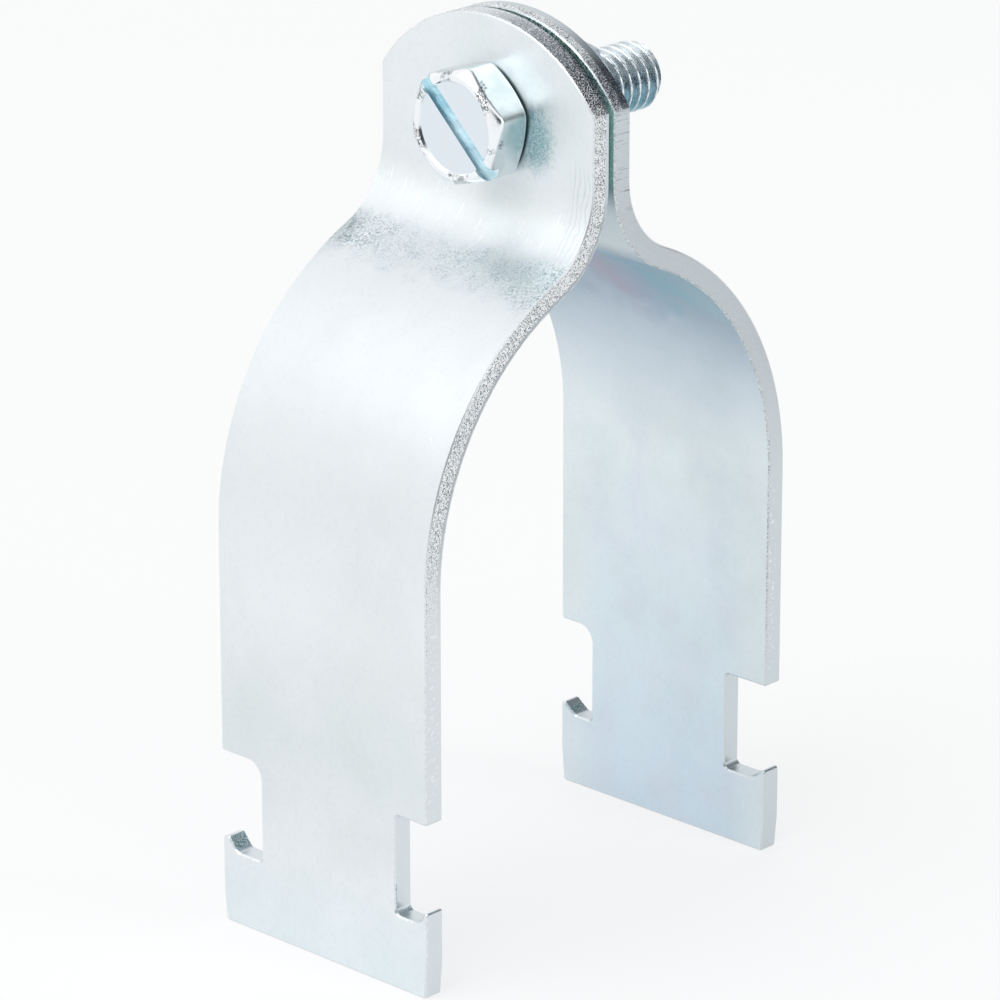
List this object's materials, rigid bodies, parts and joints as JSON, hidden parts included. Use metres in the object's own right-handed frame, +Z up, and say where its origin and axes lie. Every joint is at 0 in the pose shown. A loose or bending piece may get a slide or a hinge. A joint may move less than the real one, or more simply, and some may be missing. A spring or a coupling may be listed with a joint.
{
  "type": "rigid strut clamp",
  "caption": "Bolt-together clamp of bent steel strap that hooks into a strut channel and grips a round conduit across it.",
  "frame": {"origin": "middle of the clamp, level with the bottoms of its two feet", "axes": "+X along the screw, from its head to its end; +Y along the conduit; +Z up, from the feet to the ears"},
  "size_m": [0.058, 0.0318, 0.1026],
  "materials": {
    "strap_plating": "bright zinc plating, satin",
    "screw_plating": "bright zinc plating, glossy"
  },
  "bodies": {
    "front": {"front_strap": "strap_plating"},
    "screw": {"clamp_screw": "screw_plating"},
    "rear": {"rear_strap": "strap_plating", "square_nut": "screw_plating"}
  },
  "joints": [
    {"name": "screw_turn", "type": "hinge", "parent": "front", "child": "screw", "pos_m": [0, 0, 0.09091], "axis": [-1, 0, 0], "range_deg": [-180, 2860]},
    {"name": "rear_travel", "type": "slide", "parent": "front", "child": "rear", "axis": [1, 0, 0], "range_m": [-0.0007, 0.0112]}
  ],
  "couplings": [
    {"joint": "screw_turn", "follows": "rear_travel", "rad_per_m": 4452.6}
  ]
}
